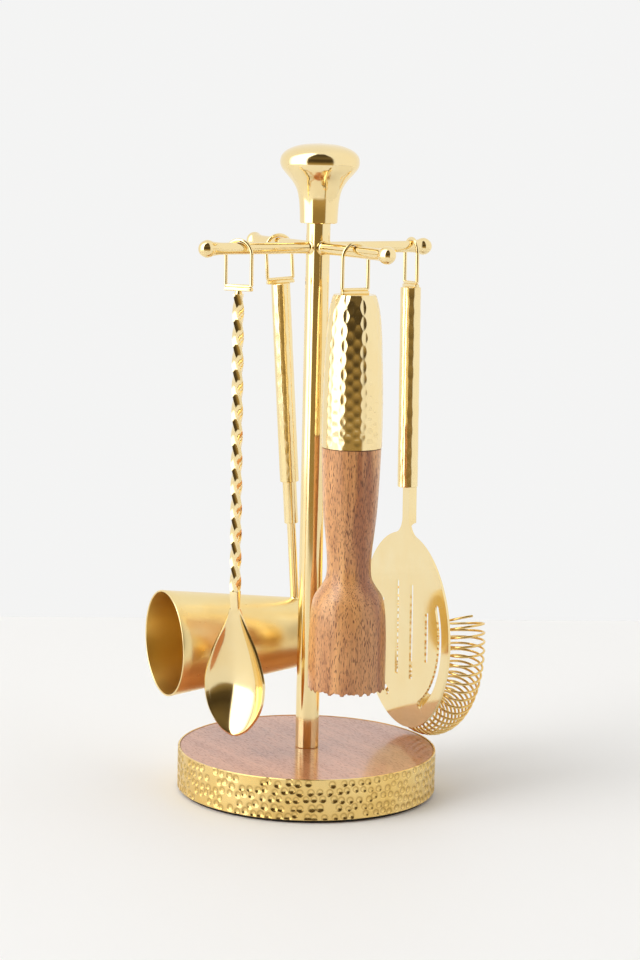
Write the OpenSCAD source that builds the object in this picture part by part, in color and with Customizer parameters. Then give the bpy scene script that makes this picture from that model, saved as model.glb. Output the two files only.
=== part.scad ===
// Bar tools on a stand: a spoon, a jigger, a muddler and a strainer, each hanging by a wire
// bail from one of the four arms of a turned and plated stand on a round wooden base.
// The origin is the centre of the base's underside, +Z is up, and the arms lie along X and Y.

/* [Base] */
// Radius of the wooden disc
base_r = 63; // [56:0.5:75]
// Height of the disc's top above the table
base_top = 21.2; // [16:0.1:30]
// Thickness of the hammered band round the disc
band_t = 1; // [0.6:0.1:2]
// Thickness of the pad under the disc
pad_t = 1.5; // [1:0.1:3]
// Radius of the pad
pad_r = 62; // [50:0.5:75]

/* [Stand] */
// Outer radius of the pole's tube
pole_r = 5.8; // [5:0.1:7]
// Wall of the pole's tube
pole_wall = 1.2; // [0.8:0.1:1.6]
// Height of the arms' axes
arm_z = 268.4; // [240:0.1:300]
// Radius of an arm
arm_r = 2.85; // [2:0.05:3.2]
// Distance from the pole's axis to the centre of a finial's ball
finial_at = 61.1; // [58:0.1:80]
// Radius of a finial's ball
finial_r = 4.2; // [3.8:0.1:5]
// Length of a finial, ball and neck together
finial_l = 13; // [11:0.5:16]
// Height of the knob's lower rim
knob_bottom = 280.2; // [278:0.1:300]
// Height of the knob
knob_h = 38.2; // [34:0.1:44]
// Largest radius of the knob
knob_r = 19.2; // [16:0.1:22]
// Radius of the knob's lower rim
knob_neck_r = 9.1; // [8:0.1:11]

/* [Wire bails] */
// Width of a bail, outside
bail_w = 15.5; // [14:0.1:18]
// Height of a bail, outside
bail_h = 23.5; // [21:0.1:28]
// Radius of the wire
wire_r = 0.9; // [0.7:0.05:1.1]
// Length of the stub that joins the bail to its tool
stub_l = 1.3; // [1:0.1:2]
// Play between a bail and the arm under it
bail_play = 0.15; // [0.1:0.05:0.4]

/* [Spoon] */
// Distance of the spoon from the pole's axis
spoon_at = 44; // [40:0.5:46]
// Angle of the spoon's face about the vertical
spoon_turn = -56.6; // [-80:0.1:-40]
// Lean of the spoon
spoon_lean = 0.5; // [-1:0.1:1]
// Side of the square bar that the stem is twisted from
stem_side = 4.2; // [3.5:0.1:5]
// Length of the twisted stretch
twist_l = 143.5; // [120:0.5:160]
// Length of one whole turn of the twist
twist_pitch = 47.5; // [30:0.5:70]
// Length of the plain neck under the twist
neck_l = 8.5; // [5:0.1:20]
// Length of the bowl
bowl_l = 62.8; // [50:0.1:70]
// Greatest width of the bowl
bowl_w = 32; // [28:0.1:36]
// Depth of the bowl
bowl_d = 7.5; // [5:0.1:10]
// Thickness of the bowl's sheet
bowl_t = 1.2; // [0.8:0.1:2]

/* [Jigger] */
// Distance of the jigger from the pole's axis
jigger_at = 37.7; // [36:0.1:42]
// Angle of the jigger's bail about the vertical
jigger_turn = -7; // [-15:0.1:0]
// Lean of the jigger's handle
jigger_lean = 4.1; // [3:0.1:5]
// Radius of the jigger's grip
jigger_grip_r = 4.8; // [4.5:0.1:5.5]
// Length of the jigger's grip
jigger_grip_l = 100; // [80:0.5:110]
// Radius of the collar under the grip
collar_r = 3.5; // [3:0.1:4]
// Length of the collar that shows
collar_l = 21.4; // [12:0.1:26]
// Radius of the rod that carries the cup
rod_r = 2.2; // [1.8:0.1:2.6]
// Length of the rod between collar and cup
rod_l = 39; // [30:0.1:44]
// Radius of the cup's mouth
cup_mouth_r = 26.5; // [24:0.1:28]
// Radius of the cup's closed end
cup_end_r = 17; // [14:0.1:19]
// Length of the cup
cup_l = 77; // [72:0.5:80]
// Distance from the mouth to the rod
cup_rod_at = 72; // [60:0.5:73]
// Wall of the cup
cup_t = 0.9; // [0.7:0.1:1.5]
// Tip of the cup's mouth above square with the rod
cup_tip = 3.4; // [0:0.1:6]

/* [Muddler] */
// Distance of the muddler from the pole's axis
muddler_at = 34; // [32:0.5:40]
// Angle of the muddler's bail about the vertical
muddler_turn = -3.6; // [-15:0.1:10]
// Lean of the muddler
muddler_lean = 0.2; // [-1:0.1:1]
// Length of the hammered cap
cap_l = 72.6; // [60:0.1:80]
// Radius of the cap's flat top
cap_top_r = 9.9; // [8:0.1:11]
// Greatest radius of the cap
cap_r = 14.6; // [13:0.1:16]
// Wall of the cap
cap_t = 1; // [0.8:0.1:1.2]
// Length of the wooden body below the cap
wood_l = 117.6; // [100:0.1:130]
// Radius of the body's neck
wood_neck_r = 10.6; // [9:0.1:11.5]
// Radius of the body's foot
wood_foot_r = 18.7; // [17:0.1:21]
// Number of teeth across the muddler's foot
tooth_rows = 9; // [5:1:11]

/* [Strainer] */
// Distance of the strainer from the pole's axis
strainer_at = 54; // [50:0.5:54.5]
// Angle of the strainer's plate about the vertical
strainer_turn = -97.5; // [-105:0.1:-85]
// Lean of the strainer
strainer_lean = 1.6; // [0:0.1:2]
// Radius of the strainer's grip
strainer_grip_r = 5.1; // [4.8:0.1:5.5]
// Length of the strainer's grip
strainer_grip_l = 99.5; // [80:0.5:110]
// Length of the tang between grip and plate
tang_l = 24.5; // [18:0.5:28]
// Width of the tang
tang_w = 7.2; // [6.5:0.1:7.5]
// Depth of the tang's folded sides
tang_d = 4.2; // [3:0.1:4.4]
// Radius of the plate
plate_r = 49.3; // [46:0.1:49.4]
// Thickness of the plate
plate_t = 1.2; // [1:0.1:1.6]
// Number of turns in the spring
spring_turns = 36; // [24:1:40]
// Radius of the spring's coil, to the middle of its wire
coil_r = 9.6; // [8:0.1:9.8]
// Radius of the spring's wire
spring_wire_r = 0.6; // [0.5:0.05:0.7]

/* [Hidden] */
$fn = 64;
// Overlap that joins two solids of one piece, and overshoot of a cut
eps = 0.05;
GOLD = "#dcb75c";
GOLD_DARK = "#c79f45";
STEEL = "#b8bcc0";
WOOD_BASE = "#a8683f";
WOOD_TOOL = "#bd8352";
BLACK = "#1d1c1b";

// Fastening of the pole: a screw from below into an insert in the pole's foot
screw_r = 3;
screw_head_r = 5.5;
screw_head_l = 3.4;
counterbore_r = 8;
counterbore_l = 7.5;
washer_r = 7.6;
washer_t = 1.5;
insert_l = 20;
bore_r = pole_r - pole_wall;
block_l = 14;
spigot_r = 1.8;
spigot_end = 1.7;
socket_l = 11;
pole_top = knob_bottom + socket_l;
stud_r = 2.5;
stud_l = 22;

// Bail, measured down from the underside of its arch, which is where it hangs
bail_c = bail_w / 2 - wire_r;
bail_bar = wire_r - (bail_h - 2 * wire_r);
tool_top = bail_bar - wire_r - stub_l;
hang_z = arm_z + arm_r + bail_play;

// Spoon
twist_top = tool_top - 1.5;
neck_top = twist_top - twist_l;
bowl_top = neck_top - neck_l;

// Jigger
grip_wall = 0.8;
plug_t = 2.4;
collar_in = 12;
jigger_grip_end = tool_top - jigger_grip_l;
collar_end = jigger_grip_end - collar_l;
rod_end = collar_end - rod_l;
cup_slope = (cup_mouth_r - cup_end_r) / cup_l;
cup_r_at_rod = cup_mouth_r - cup_slope * cup_rod_at;
cup_axis = rod_end - cup_r_at_rod;
cup_corner = 2.5;

// Muddler
cap_end = tool_top - cap_l;
wood_end = cap_end - wood_l;
tenon_r = 9.2;
tenon_l = 62;
muddler_stud_r = 2;
muddler_stud_l = 18;
tooth_d = 1.5;

// Strainer
strainer_grip_end = tool_top - strainer_grip_l;
tang_in = 18;
plate_z = strainer_grip_end - tang_l - plate_r + 1.5;
plate_back = 0.4;
fillet_r = 9;
slot_r = 1.7;
slot_x = 8.1;
slot_long = 48;
slot_short = 25;
arc_slot_r = 39.5;
arc_slot_hw = 2.1;
arc_slot_from = -62;
arc_slot_to = 24;
spring_gap = 0.3;
spring_path_r = 44;
spring_from = -196;
spring_to = 16;
spring_y = plate_back + spring_gap + spring_wire_r + coil_r;

// ---- Curves ----

// One point of the curve that runs through b and c, with a and d as the points beside them
function curve_point(a, b, c, d, t) =
    0.5 * (2 * b + (c - a) * t + (2 * a - 5 * b + 4 * c - d) * t * t
        + (3 * b - a - 3 * c + d) * t * t * t);

// A smooth curve through a list of points, with n steps between each pair
function curve(p, n = 4) = concat(
    [for (i = [0:len(p) - 2]) for (k = [0:n - 1])
        curve_point(p[max(i - 1, 0)], p[i], p[i + 1], p[min(i + 2, len(p) - 1)], k / n)],
    [p[len(p) - 1]]);

// A solid turned from an outline of [radius, height] points that starts and ends on the axis
module turned(outline) rotate_extrude() polygon(outline);

// A closed grid of points, rows of equal length, as one solid with flat ends
module skin(rows) {
    n = len(rows[0]);
    m = len(rows);
    polyhedron(
        [for (row = rows) each row],
        concat(
            [for (j = [1:n - 2]) [0, j + 1, j]],
            [for (i = [0:m - 2]) for (j = [0:n - 1])
                let (k = (j + 1) % n) each [[i * n + j, i * n + k, (i + 1) * n + j],
                    [i * n + k, (i + 1) * n + k, (i + 1) * n + j]]],
            [for (j = [1:n - 2]) [(m - 1) * n, (m - 1) * n + j, (m - 1) * n + j + 1]]),
        convexity = 10);
}

// ---- Base ----

module base_block() color(WOOD_BASE) difference() {
    translate([0, 0, pad_t]) rotate_extrude($fn = 128) polygon([
        [0, 0], [base_r, 0], [base_r, base_top - pad_t - 0.4],
        [base_r - 0.4, base_top - pad_t], [0, base_top - pad_t]]);
    translate([0, 0, -eps]) cylinder(r = screw_r + 0.2, h = base_top + 2 * eps);
    translate([0, 0, pad_t - eps]) cylinder(r = counterbore_r, h = counterbore_l + eps);
}

module base_band() color(GOLD) translate([0, 0, pad_t]) difference() {
    cylinder(r = base_r + band_t, h = base_top - pad_t + 0.2, $fn = 128);
    translate([0, 0, -1]) cylinder(r = base_r, h = base_top + 2, $fn = 128);
}

module base_pad() color(BLACK) cylinder(r = pad_r, h = pad_t, $fn = 128);

module base_washer() color(STEEL) translate([0, 0, pad_t + counterbore_l - washer_t])
    difference() {
        cylinder(r = washer_r, h = washer_t);
        translate([0, 0, -eps]) cylinder(r = screw_r + 0.1, h = washer_t + 2 * eps);
    }

module base_screw() color(STEEL) {
    head_top = pad_t + counterbore_l - washer_t;
    difference() {
        union() {
            translate([0, 0, head_top - screw_head_l])
                cylinder(r = screw_head_r, h = screw_head_l);
            translate([0, 0, head_top - eps])
                cylinder(r = screw_r, h = base_top + 15 - head_top);
        }
        translate([0, 0, head_top - screw_head_l - eps])
            cylinder(r = 2.9, h = 2, $fn = 6);
    }
}

// ---- Stand ----

// A plug that fills the pole's bore from z to z + l, with a screw hole through it
module pole_insert(z, l, hole_r) color(GOLD_DARK) translate([0, 0, z]) difference() {
    cylinder(r = bore_r, h = l);
    translate([0, 0, -eps]) cylinder(r = hole_r, h = l + 2 * eps);
}

module pole() color(GOLD) difference() {
    translate([0, 0, base_top]) cylinder(r = pole_r, h = pole_top - base_top);
    translate([0, 0, base_top - eps]) cylinder(r = bore_r, h = pole_top - base_top + 2 * eps);
    for (turn = [0:90:270]) on_arm(turn) cylinder(r = spigot_r, h = pole_r + 1);
}

module foot_insert() pole_insert(base_top, insert_l, screw_r);

module top_insert() pole_insert(pole_top - 14, 14, stud_r);

module cross_block() color(GOLD_DARK) difference() {
    translate([0, 0, arm_z - block_l / 2]) cylinder(r = bore_r, h = block_l);
    for (turn = [0:90:270]) on_arm(turn) translate([0, 0, spigot_end])
        cylinder(r = spigot_r, h = pole_r);
}

module knob_stud() color(STEEL) translate([0, 0, pole_top - 12])
    cylinder(r = stud_r, h = stud_l);

module knob() color(GOLD) {
    waist_r = knob_neck_r + 1.2;
    translate([0, 0, knob_bottom]) difference() {
        turned(concat([[0, 0]], curve([
            [knob_neck_r, 0], [knob_neck_r + 0.4, knob_h * 0.22], [waist_r, knob_h * 0.36],
            [knob_r * 0.6, knob_h * 0.45], [knob_r * 0.71, knob_h * 0.535],
            [knob_r * 0.86, knob_h * 0.62], [knob_r * 0.965, knob_h * 0.69],
            [knob_r, knob_h * 0.765], [knob_r * 0.955, knob_h * 0.85],
            [knob_r * 0.78, knob_h * 0.925], [knob_r * 0.45, knob_h * 0.98], [0, knob_h]])));
        translate([0, 0, -eps]) cylinder(r = pole_r, h = socket_l + eps);
        translate([0, 0, socket_l - eps]) cylinder(r = stud_r, h = stud_l - 12 + eps);
    }
}

// Puts what stands along Z on the arm that is turned by the given angle from +X
module on_arm(turn) translate([0, 0, arm_z]) rotate([0, 0, turn]) rotate([0, 90, 0]) children();

module arm(turn) color(GOLD) {
    neck_at = finial_at + finial_r - finial_l;
    difference() {
        on_arm(turn) union() {
            translate([0, 0, pole_r - 2]) cylinder(r = arm_r, h = neck_at - pole_r + 2);
            translate([0, 0, neck_at - eps]) cylinder(r = spigot_r, h = 6);
        }
        translate([0, 0, arm_z - arm_r * 2]) cylinder(r = pole_r, h = arm_r * 4);
    }
    on_arm(turn) translate([0, 0, spigot_end]) cylinder(r = spigot_r, h = pole_r);
}

module finial(turn) color(GOLD) on_arm(turn)
    translate([0, 0, finial_at + finial_r - finial_l]) difference() {
        turned(concat([[0, 0]], curve([
            [arm_r, 0], [arm_r + 0.15, finial_l * 0.22], [finial_r * 0.82, finial_l * 0.45],
            [finial_r * 0.975, finial_l * 0.6], [finial_r * 0.975, finial_l * 0.74],
            [finial_r * 0.72, finial_l * 0.9], [finial_r * 0.38, finial_l * 0.98],
            [0, finial_l]])));
        translate([0, 0, -eps]) cylinder(r = spigot_r, h = 6);
    }

module arm_right() arm(0);
module arm_back() arm(90);
module arm_left() arm(180);
module arm_front() arm(270);
module finial_right() finial(0);
module finial_back() finial(90);
module finial_left() finial(180);
module finial_front() finial(270);

// ---- Tools: each is drawn with its hanging point at the origin and its bail across X ----

module at_spoon() translate([-spoon_at, 0, hang_z]) 
    rotate([0, -spoon_lean, spoon_turn]) children();
module at_jigger() translate([0, jigger_at, hang_z])
    rotate([0, -jigger_lean, jigger_turn]) children();
module at_muddler() translate([0, -muddler_at, hang_z])
    rotate([0, -muddler_lean, muddler_turn]) children();
module at_strainer() translate([strainer_at, 0, hang_z])
    rotate([0, -strainer_lean, strainer_turn]) children();

module bail() color(GOLD) {
    arch_z = wire_r - bail_c;
    translate([0, 0, arch_z]) rotate([90, 0, 0])
        rotate_extrude(angle = 180) translate([bail_c, 0]) circle(r = wire_r, $fn = 24);
    // The legs and the bar are drawn a hair thinner than the arch, and a bead of solder
    // fills each corner
    for (side = [-1, 1]) translate([side * bail_c, 0, bail_bar]) {
        cylinder(r = wire_r - eps, h = arch_z - bail_bar + 4 * eps, $fn = 24);
        sphere(r = wire_r + 2 * eps, $fn = 24);
    }
    translate([-bail_c, 0, bail_bar]) rotate([0, 90, 0])
        cylinder(r = wire_r - eps, h = 2 * bail_c, $fn = 24);
    translate([0, 0, tool_top]) cylinder(r = 1.4, h = stub_l + wire_r);
}

// A closing disc in the top of a tubular grip
module grip_plug(r) color(GOLD) translate([0, 0, tool_top - plug_t])
    cylinder(r = r - grip_wall, h = plug_t);

module grip(r, l) color(GOLD) translate([0, 0, tool_top - l]) difference() {
    cylinder(r = r, h = l);
    translate([0, 0, -eps]) cylinder(r = r - grip_wall, h = l + 2 * eps);
}

// ---- Spoon ----

module spoon_bail() at_spoon() bail();

module spoon_stem() at_spoon() color(GOLD) {
    rings = 76;
    // Corner distances of a square bar whose edges are a little rounded
    corner = stem_side * 0.66;
    flat = stem_side * 0.5;
    skin([for (i = [rings:-1:0]) let (z = neck_top + twist_l * i / rings)
        [for (k = [0:11]) let (
                on_flat = k % 3 == 0,
                angle = 30 * k + (on_flat ? 0 : k % 3 == 1 ? 8 : -8) - 360 * z / twist_pitch)
            [(on_flat ? flat : corner) * cos(angle), (on_flat ? flat : corner) * sin(angle), z]]]);
    translate([0, 0, twist_top - eps]) cylinder(r1 = stem_side * 0.5, r2 = 1.4, h = 1.5 + eps);
    translate([0, 0, bowl_top]) cylinder(r1 = 2.5, r2 = stem_side * 0.5, h = neck_l + eps);
}

// The bowl's outline: half its width as a share of the greatest, and how far down it lies
BOWL = curve([[0.165, 0], [0.35, 0.13], [0.73, 0.33], [0.98, 0.53], [1, 0.64], [0.945, 0.74],
    [0.79, 0.84], [0.49, 0.94], [0.22, 0.985], [0.05, 1]], 2);

module spoon_bowl() at_spoon() color(GOLD) {
    across = 8;
    rows = [for (p = BOWL) let (
            half = p[0] * bowl_w / 2,
            sink = 0.3 + bowl_d * sin(180 * pow(p[1], 1.2)),
            z = bowl_top - bowl_l * p[1])
        concat(
            [for (j = [-across:across]) let (w = j / across)
                [half * w, sink * (1 - w * w), z]],
            [for (j = [across:-1:-across]) let (w = j / across)
                [half * w, sink * (1 - w * w) + bowl_t, z]])];
    translate([0, -0.3 - bowl_t / 2, 0]) skin(rows);
}

// ---- Jigger ----

module jigger_bail() at_jigger() bail();
module jigger_plug() at_jigger() grip_plug(jigger_grip_r);
module jigger_grip() at_jigger() grip(jigger_grip_r, jigger_grip_l);

module jigger_collar() at_jigger() color(GOLD) difference() {
    union() {
        translate([0, 0, collar_end]) cylinder(r = collar_r, h = collar_l + eps);
        translate([0, 0, jigger_grip_end])
            cylinder(r = jigger_grip_r - grip_wall, h = collar_in);
    }
    translate([0, 0, collar_end - eps]) cylinder(r = rod_r, h = collar_l + collar_in + 1);
}

module jigger_rod() at_jigger() color(GOLD) difference() {
    translate([0, 0, cup_axis]) cylinder(r = rod_r, h = jigger_grip_end + collar_in - cup_axis);
    at_cup() turned([[0, 0], [cup_mouth_r, 0], [cup_end_r, cup_l], [0, cup_l]]);
}

// The cup's own frame: +Z from the mouth to the closed end, along the cup's axis
module at_cup() translate([0, 0, cup_axis]) rotate([0, 90 + cup_tip, 0])
    translate([0, 0, -cup_rod_at]) children();

module jigger_cup() at_jigger() color(GOLD) at_cup() turned(concat(
    [[cup_mouth_r - cup_t, 0], [cup_mouth_r, 0]],
    [for (a = [0:15:90]) [
        cup_end_r - cup_corner * (1 - cos(a)), cup_l - cup_corner * (1 - sin(a))]],
    [[0, cup_l], [0, cup_l - cup_t]],
    [for (a = [90:-15:0]) [
        cup_end_r - cup_t - (cup_corner - cup_t) * (1 - cos(a)),
        cup_l - cup_t - (cup_corner - cup_t) * (1 - sin(a))]]));

// ---- Muddler ----

// The cap's outline from its lower rim to the edge of its flat top
function cap_outline(shrink) = curve([
    [cap_r - 0.15 - shrink, 0], [cap_r - shrink, cap_l * 0.19],
    [cap_r * 0.98 - shrink, cap_l * 0.42], [cap_r * 0.935 - shrink, cap_l * 0.64],
    [cap_r * 0.89 - shrink, cap_l * 0.79], [cap_r * 0.83 - shrink, cap_l * 0.89],
    [cap_r * 0.75 - shrink, cap_l * 0.965], [cap_top_r - shrink, cap_l - shrink * 0.9]]);

module muddler_bail() at_muddler() bail();

module muddler_stud() at_muddler() color(STEEL) translate([0, 0, tool_top - muddler_stud_l])
    cylinder(r = muddler_stud_r, h = muddler_stud_l);

module muddler_cap() at_muddler() color(GOLD) translate([0, 0, cap_end]) difference() {
    turned(concat([[0, 0]], cap_outline(0), [[0, cap_l]]));
    translate([0, 0, -eps]) turned(concat([[0, 0]], cap_outline(cap_t), [[0, cap_l - cap_t]]));
    cylinder(r = muddler_stud_r, h = cap_l + 1);
}

module muddler_body() at_muddler() color(WOOD_TOOL) difference() {
    union() {
        translate([0, 0, wood_end]) turned(concat(
            [[0, 0]],
            curve([
                [wood_foot_r - 0.9, 0], [wood_foot_r, 1.6], [wood_foot_r, wood_l * 0.17],
                [wood_foot_r * 0.978, wood_l * 0.28], [wood_foot_r * 0.935, wood_l * 0.35],
                [wood_foot_r * 0.865, wood_l * 0.387], [wood_foot_r * 0.715, wood_l * 0.423],
                [wood_neck_r * 1.06, wood_l * 0.457], [wood_neck_r, wood_l * 0.5],
                [wood_neck_r * 1.03, wood_l * 0.571], [wood_neck_r * 1.13, wood_l * 0.656],
                [wood_neck_r * 1.225, wood_l * 0.742], [cap_r - 1, wood_l * 0.848],
                [cap_r - 0.35, wood_l]]),
            [[0, wood_l]]));
        translate([0, 0, cap_end - eps]) cylinder(r = tenon_r, h = tenon_l);
    }
    translate([0, 0, tool_top - muddler_stud_l - 1])
        cylinder(r = muddler_stud_r, h = muddler_stud_l + 2);
    for (k = [0:tooth_rows - 1]) for (turn = [0, 90]) rotate([0, 0, turn])
        translate([(k - (tooth_rows - 1) / 2) * 2 * wood_foot_r / tooth_rows, 0, wood_end])
            rotate([90, 45, 0]) cube([tooth_d * 1.4, tooth_d * 1.4, 3 * wood_foot_r],
                center = true);
}

// ---- Strainer ----

module strainer_bail() at_strainer() bail();
module strainer_plug() at_strainer() grip_plug(strainer_grip_r);
module strainer_grip() at_strainer() grip(strainer_grip_r, strainer_grip_l);

// An upright slot with round ends
module slot(x, l) for (side = [-1, 1]) translate([x, side * (l / 2 - slot_r)]) {
    circle(r = slot_r, $fn = 24);
    translate([-slot_r, side > 0 ? slot_r - l : 0]) square([2 * slot_r, l - slot_r]);
}

// A slot that follows the rim, from one angle to another, with round ends
module arc_slot(from, to) {
    steps = 24;
    polygon(concat(
        [for (k = [0:steps]) let (a = from + (to - from) * k / steps)
            (arc_slot_r + arc_slot_hw) * [cos(a), sin(a)]],
        [for (k = [steps:-1:0]) let (a = from + (to - from) * k / steps)
            (arc_slot_r - arc_slot_hw) * [cos(a), sin(a)]]));
    for (a = [from, to]) translate(arc_slot_r * [cos(a), sin(a)])
        circle(r = arc_slot_hw, $fn = 24);
}

// The plate's outline: a disc, a strip for the tang, and a fillet on each side between them
module plate_outline() {
    fillet_x = tang_w / 2 + fillet_r;
    fillet_z = sqrt(pow(plate_r + fillet_r, 2) - pow(fillet_x, 2));
    circle(r = plate_r, $fn = 128);
    translate([-tang_w / 2, 0]) square([tang_w, plate_r + tang_l + tang_in - 1.5]);
    for (side = [0, 1]) mirror([side, 0]) polygon(concat(
        [[0, plate_r / 2], [0, fillet_z]],
        [for (k = [0:8]) let (a = 180 + atan2(fillet_z, fillet_x) * k / 8)
            [fillet_x, fillet_z] + fillet_r * [cos(a), sin(a)]]));
}

module strainer_plate() at_strainer() color(GOLD) translate([0, 0, plate_z]) {
    translate([0, plate_back, 0]) rotate([90, 0, 0]) linear_extrude(plate_t) difference() {
        plate_outline();
        for (side = [-1, 1]) {
            slot(side * slot_x, slot_long);
            slot(side * slot_x * 3.1, slot_short);
        }
        arc_slot(arc_slot_from, arc_slot_to);
        arc_slot(180 - arc_slot_to, 180 - arc_slot_from);
    }
    // The tang's sides are folded back, and run out in a curve just above the plate
    for (side = [-1, 1]) translate([side * (tang_w - plate_t) / 2 - plate_t / 2,
            plate_back - eps, plate_r + 2]) difference() {
        cube([plate_t, tang_d - plate_t + eps, tang_l - 3.5]);
        translate([-1, tang_d - plate_t + eps, -eps]) rotate([0, 90, 0])
            cylinder(r = tang_d - plate_t, h = plate_t + 2, $fn = 32);
    }
}

// Middle of the spring's wire: a coil wound round an arc under the plate's rim.
// The turns stand further apart towards the two ends.
function spring_spread(t) = t + 0.045 * sin(720 * (t - 0.25) + 180) / 2;
function spring_point(t) = let (
        around = spring_from + (spring_to - spring_from) * t,
        coil = 360 * spring_turns * t,
        r = spring_path_r + coil_r * cos(coil))
    [r * cos(around), spring_y + coil_r * sin(coil), plate_z + r * sin(around)];

// A ring of points square to the wire at t
function spring_ring(t, sides) = let (
        step = 0.0004,
        d = spring_point(t + step) - spring_point(t - step),
        ahead = d / norm(d),
        around = spring_from + (spring_to - spring_from) * t,
        middle = [spring_path_r * cos(around), spring_y, plate_z + spring_path_r * sin(around)],
        o = spring_point(t) - middle,
        flat = o - ahead * (o * ahead),
        out = flat / norm(flat),
        side = cross(ahead, out))
    [for (k = [0:sides - 1]) let (a = -360 * k / sides)
        spring_point(t) + spring_wire_r * (out * cos(a) + side * sin(a))];

module strainer_spring() at_strainer() color(GOLD) {
    steps = spring_turns * 11;
    skin([for (i = [0:steps]) spring_ring(spring_spread(i / steps), 5)]);
}

base_block();
base_band();
base_pad();
base_screw();
base_washer();
pole();
foot_insert();
cross_block();
top_insert();
knob_stud();
knob();
arm_right();
arm_back();
arm_left();
arm_front();
finial_right();
finial_back();
finial_left();
finial_front();
spoon_bail();
spoon_stem();
spoon_bowl();
jigger_bail();
jigger_plug();
jigger_grip();
jigger_collar();
jigger_rod();
jigger_cup();
muddler_bail();
muddler_stud();
muddler_cap();
muddler_body();
strainer_bail();
strainer_plug();
strainer_grip();
strainer_plate();
strainer_spring();
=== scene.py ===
import math
import random

import bpy
from mathutils import Matrix, Vector, kdtree


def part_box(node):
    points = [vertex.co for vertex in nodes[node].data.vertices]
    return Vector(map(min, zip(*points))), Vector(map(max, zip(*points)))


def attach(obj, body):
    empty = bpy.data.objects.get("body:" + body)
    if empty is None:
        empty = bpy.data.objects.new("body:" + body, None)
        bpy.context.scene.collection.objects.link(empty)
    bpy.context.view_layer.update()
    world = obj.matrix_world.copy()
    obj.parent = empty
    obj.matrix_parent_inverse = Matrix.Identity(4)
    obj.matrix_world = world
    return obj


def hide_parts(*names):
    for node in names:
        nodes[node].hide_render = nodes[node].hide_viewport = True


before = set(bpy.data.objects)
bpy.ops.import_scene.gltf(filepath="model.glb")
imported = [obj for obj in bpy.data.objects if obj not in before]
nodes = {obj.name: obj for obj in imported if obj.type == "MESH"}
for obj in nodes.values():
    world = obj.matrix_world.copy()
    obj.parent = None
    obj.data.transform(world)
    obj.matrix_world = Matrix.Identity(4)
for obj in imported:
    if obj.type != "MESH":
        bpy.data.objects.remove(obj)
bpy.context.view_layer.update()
mm = 0.001


# ---- Camera and studio ----
# A long lens a little above the arms, looking down on the set from its front left corner.
# The stand rests on a pale table that ends behind it, in a bright room with a darker middle.

eye = (-0.6346, -1.0314, 0.3372)
heading, dip, roll = (math.radians(a) for a in (31.77, 8.554, 1.335))

bpy.ops.object.camera_add()
camera = bpy.context.object
camera.matrix_world = (
    Matrix.Translation(eye) @ Matrix.Rotation(-heading, 4, "Z")
    @ Matrix.Rotation(math.pi / 2 - dip, 4, "X") @ Matrix.Rotation(roll, 4, "Z"))
camera.data.sensor_fit = "VERTICAL"
camera.data.sensor_height = 36
camera.data.lens = 93.885
camera.data.clip_start = 0.05
bpy.context.scene.camera = camera
bpy.context.scene.view_settings.view_transform = "Standard"


def add_node(tree, kind, inputs=(), **settings):
    """Adds a shader node with its settings, and gives each input a value or a link."""
    made = tree.nodes.new("ShaderNode" + kind)
    for name, value in settings.items():
        setattr(made, name, value)
    for name, value in dict(inputs).items():
        if isinstance(value, bpy.types.NodeSocket):
            tree.links.new(value, made.inputs[name])
        else:
            made.inputs[name].default_value = value
    return made


def add_ramp(tree, share, stops):
    """A colour ramp over the given socket, from (place, colour) stops."""
    made = add_node(tree, "ValToRGB", {"Fac": share})
    ramp = made.color_ramp
    while len(ramp.elements) < len(stops):
        ramp.elements.new(1)
    for element, (place, colour) in zip(ramp.elements, stops):
        element.position = place
        element.color = (*colour, 1)
    return made.outputs["Color"]


def grey(level):
    return (level, level, level)


room = bpy.data.worlds.new("room")
bpy.context.scene.world = room
room.use_nodes = True
tree = room.node_tree
tree.nodes.clear()
towards = add_node(tree, "TexCoord").outputs["Generated"]
square_on = add_node(tree, "VectorRotate", {"Vector": towards, "Angle": heading},
                     rotation_type="Z_AXIS").outputs[0]
axes = add_node(tree, "SeparateXYZ", {0: square_on}).outputs
nearer = add_node(tree, "Math", {0: axes["Y"], 1: -1.0}, operation="MULTIPLY").outputs[0]
around = add_node(tree, "Math", {0: axes["X"], 1: nearer}, operation="ARCTAN2").outputs[0]
turn_share = add_node(tree, "MapRange", {"Value": around, "From Min": -math.pi,
                                         "From Max": math.pi}).outputs[0]
height_share = add_node(tree, "MapRange", {"Value": axes["Z"], "From Min": -1.0}).outputs[0]
walls = add_ramp(tree, turn_share, [
    (0.0, grey(0.92)), (0.22, grey(0.96)), (0.25, grey(2.5)), (0.4, grey(2.7)),
    (0.5, grey(0.9)), (0.625, grey(0.97)), (0.8, grey(0.99)), (1.0, grey(0.92))])
unlit = add_ramp(tree, height_share, [
    (0.38, (0.44, 0.31, 0.12)), (0.46, (0.27, 0.19, 0.075)), (0.54, (0.09, 0.063, 0.026)),
    (0.62, (0.06, 0.042, 0.018)), (0.78, (0.16, 0.115, 0.05)), (0.95, (0.08, 0.06, 0.03))])
facing = add_ramp(tree, turn_share, [
    (0.385, grey(0)), (0.4, grey(1)), (0.605, grey(1)), (0.62, grey(0))])
walls = add_node(tree, "Mix", {"Factor": facing, 6: walls, 7: unlit}, data_type="RGBA").outputs[2]
low_and_high = add_ramp(tree, height_share, [
    (0.0, grey(0)), (0.3, grey(0)), (0.34, grey(1)), (0.99, grey(1)), (0.997, grey(0))])
surround = add_node(tree, "Mix", {"Factor": low_and_high, 6: (*grey(0.96), 1), 7: walls},
                    data_type="RGBA").outputs[2]
seen = add_node(tree, "LightPath").outputs["Is Camera Ray"]
shown = add_node(tree, "Mix", {"Factor": seen, 6: surround, 7: (0.905, 0.905, 0.9, 1)},
                 data_type="RGBA").outputs[2]
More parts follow.
